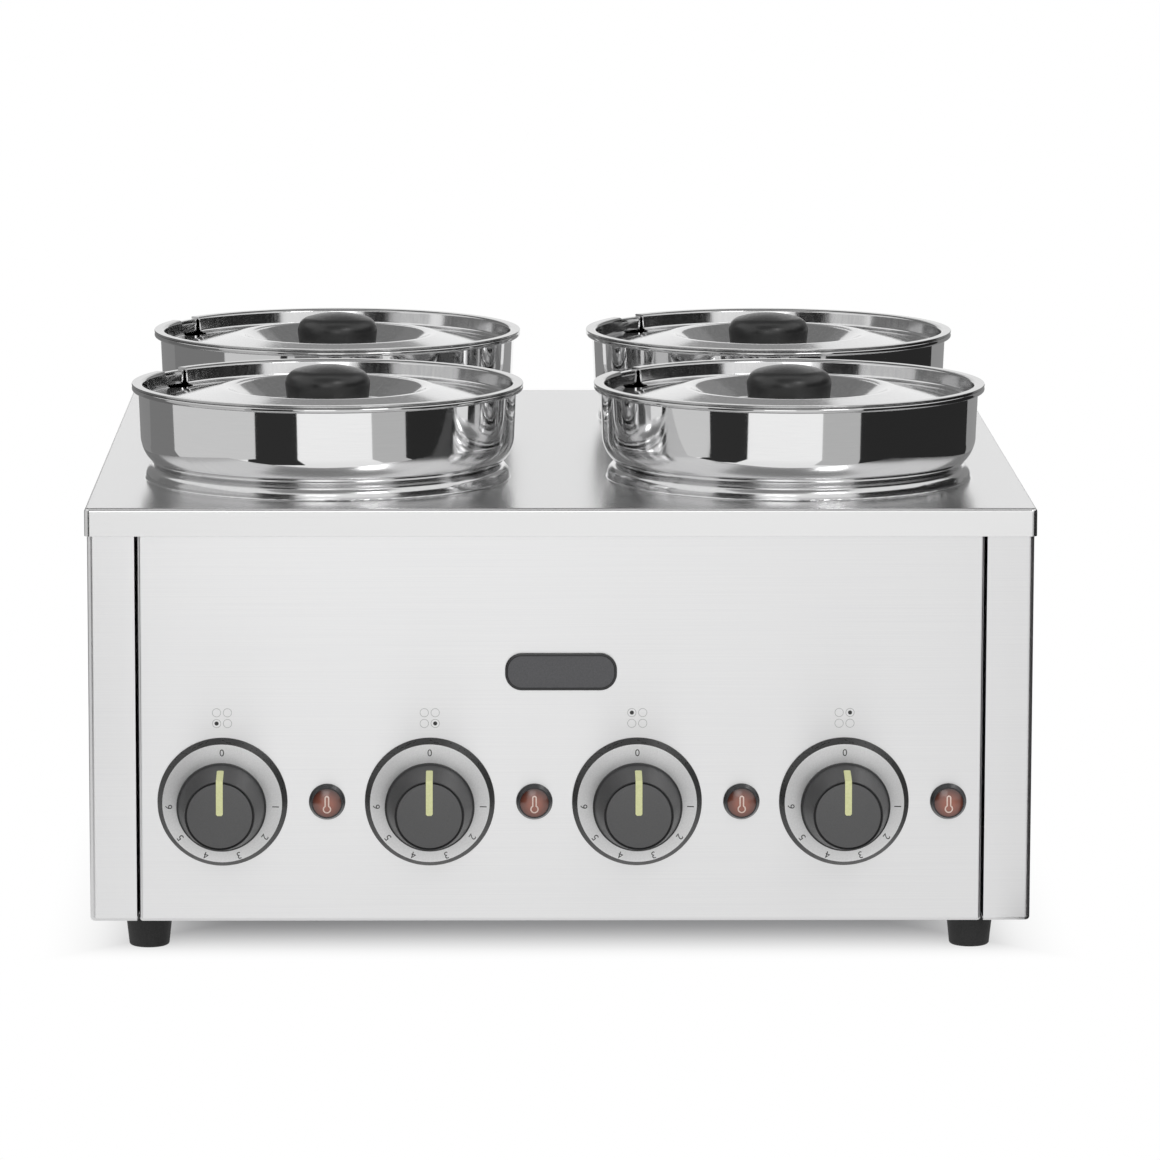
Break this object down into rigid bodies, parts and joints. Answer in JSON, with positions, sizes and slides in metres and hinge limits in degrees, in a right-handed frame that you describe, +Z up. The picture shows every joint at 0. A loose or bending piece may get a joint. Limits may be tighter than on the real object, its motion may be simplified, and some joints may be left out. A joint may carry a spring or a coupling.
{
  "type": "bain marie",
  "caption": "Counter-top electric bain marie: stainless casing on rubber feet with drop-in round pots and notched lids, each pot with its own thermostat dial and signal lamp.",
  "frame": {"origin": "on the table, under the middle of the footprint with the knobs and the cable gland", "axes": "+Z up, the controls face -Y, +X to the right seen from the controls"},
  "size_m": [0.505, 0.5654, 0.3043],
  "materials": {
    "casing_steel": "satin brushed",
    "deck_steel": "polished",
    "pot_steel": "mirror polished",
    "well_steel": "drawn, dull",
    "zinc_steel": "zinc plated",
    "rubber": "matt",
    "knob_plastic": "satin",
    "lid_knob_plastic": "satin",
    "ring_plastic": "silver face, dark edge",
    "badge_plastic": "satin",
    "lamp_black": "gloss",
    "lens_amber": "clear",
    "insulator": "moulded",
    "thermostat_case": "plated",
    "gland_plastic": "moulded"
  },
  "bodies": {
    "casing": {"top_deck": "deck_steel", "body_wrap": "casing_steel", "front_panel": "casing_steel", "base_plate": "zinc_steel", "badge_plate": "badge_plastic", "rubber_feet": "rubber", "foot_screws": "zinc_steel", "casing_screws": "zinc_steel", "cable_gland": "gland_plastic", "gland_locknut": "gland_plastic", "terminal_block": "insulator", "thermostat_nuts": "zinc_steel", "front_left_well": "well_steel", "front_left_heating_element": "zinc_steel", "front_left_thermostat": "thermostat_case", "front_left_dial_ring": "ring_plastic", "front_left_lamp_housing": "lamp_black", "front_left_lamp_lens": "lens_amber", "front_right_well": "well_steel", "front_right_heating_element": "zinc_steel", "front_right_thermostat": "thermostat_case", "front_right_dial_ring": "ring_plastic", "front_right_lamp_housing": "lamp_black", "front_right_lamp_lens": "lens_amber", "back_left_well": "well_steel", "back_left_heating_element": "zinc_steel", "back_left_thermostat": "thermostat_case", "back_left_dial_ring": "ring_plastic", "back_left_lamp_housing": "lamp_black", "back_left_lamp_lens": "lens_amber", "back_right_well": "well_steel", "back_right_heating_element": "zinc_steel", "back_right_thermostat": "thermostat_case", "back_right_dial_ring": "ring_plastic", "back_right_lamp_housing": "lamp_black", "back_right_lamp_lens": "lens_amber"},
    "front_left_pot_body": {"front_left_pot": "pot_steel"},
    "front_left_lid_body": {"front_left_lid": "pot_steel", "front_left_lid_knob": "lid_knob_plastic", "front_left_lid_screw": "zinc_steel"},
    "front_left_control_body": {"front_left_control_knob": "knob_plastic", "front_left_thermostat_shaft": "zinc_steel"},
    "front_right_pot_body": {"front_right_pot": "pot_steel"},
    "front_right_lid_body": {"front_right_lid": "pot_steel", "front_right_lid_knob": "lid_knob_plastic", "front_right_lid_screw": "zinc_steel"},
    "front_right_control_body": {"front_right_control_knob": "knob_plastic", "front_right_thermostat_shaft": "zinc_steel"},
    "back_left_pot_body": {"back_left_pot": "pot_steel"},
    "back_left_lid_body": {"back_left_lid": "pot_steel", "back_left_lid_knob": "lid_knob_plastic", "back_left_lid_screw": "zinc_steel"},
    "back_left_control_body": {"back_left_control_knob": "knob_plastic", "back_left_thermostat_shaft": "zinc_steel"},
    "back_right_pot_body": {"back_right_pot": "pot_steel"},
    "back_right_lid_body": {"back_right_lid": "pot_steel", "back_right_lid_knob": "lid_knob_plastic", "back_right_lid_screw": "zinc_steel"},
    "back_right_control_body": {"back_right_control_knob": "knob_plastic", "back_right_thermostat_shaft": "zinc_steel"}
  },
  "joints": [
    {"name": "front_left_pot_lift", "type": "slide", "parent": "casing", "child": "front_left_pot_body", "axis": [0, 0, 1], "range_m": [0, 0.2]},
    {"name": "front_left_lid_lift", "type": "slide", "parent": "front_left_pot_body", "child": "front_left_lid_body", "axis": [0, 0, 1], "range_m": [0, 0.12]},
    {"name": "front_left_knob_turn", "type": "hinge", "parent": "casing", "child": "front_left_control_body", "pos_m": [-0.1802, -0.2397, 0.0851], "axis": [0, 1, 0], "range_deg": [0, 270]},
    {"name": "front_right_pot_lift", "type": "slide", "parent": "casing", "child": "front_right_pot_body", "axis": [0, 0, 1], "range_m": [0, 0.2]},
    {"name": "front_right_lid_lift", "type": "slide", "parent": "front_right_pot_body", "child": "front_right_lid_body", "axis": [0, 0, 1], "range_m": [0, 0.12]},
    {"name": "front_right_knob_turn", "type": "hinge", "parent": "casing", "child": "front_right_control_body", "pos_m": [-0.0698, -0.2397, 0.0851], "axis": [0, 1, 0], "range_deg": [0, 270]},
    {"name": "back_left_pot_lift", "type": "slide", "parent": "casing", "child": "back_left_pot_body", "axis": [0, 0, 1], "range_m": [0, 0.2]},
    {"name": "back_left_lid_lift", "type": "slide", "parent": "back_left_pot_body", "child": "back_left_lid_body", "axis": [0, 0, 1], "range_m": [0, 0.12]},
    {"name": "back_left_knob_turn", "type": "hinge", "parent": "casing", "child": "back_left_control_body", "pos_m": [0.0406, -0.2397, 0.0851], "axis": [0, 1, 0], "range_deg": [0, 270]},
    {"name": "back_right_pot_lift", "type": "slide", "parent": "casing", "child": "back_right_pot_body", "axis": [0, 0, 1], "range_m": [0, 0.2]},
    {"name": "back_right_lid_lift", "type": "slide", "parent": "back_right_pot_body", "child": "back_right_lid_body", "axis": [0, 0, 1], "range_m": [0, 0.12]},
    {"name": "back_right_knob_turn", "type": "hinge", "parent": "casing", "child": "back_right_control_body", "pos_m": [0.151, -0.2397, 0.0851], "axis": [0, 1, 0], "range_deg": [0, 270]}
  ]
}
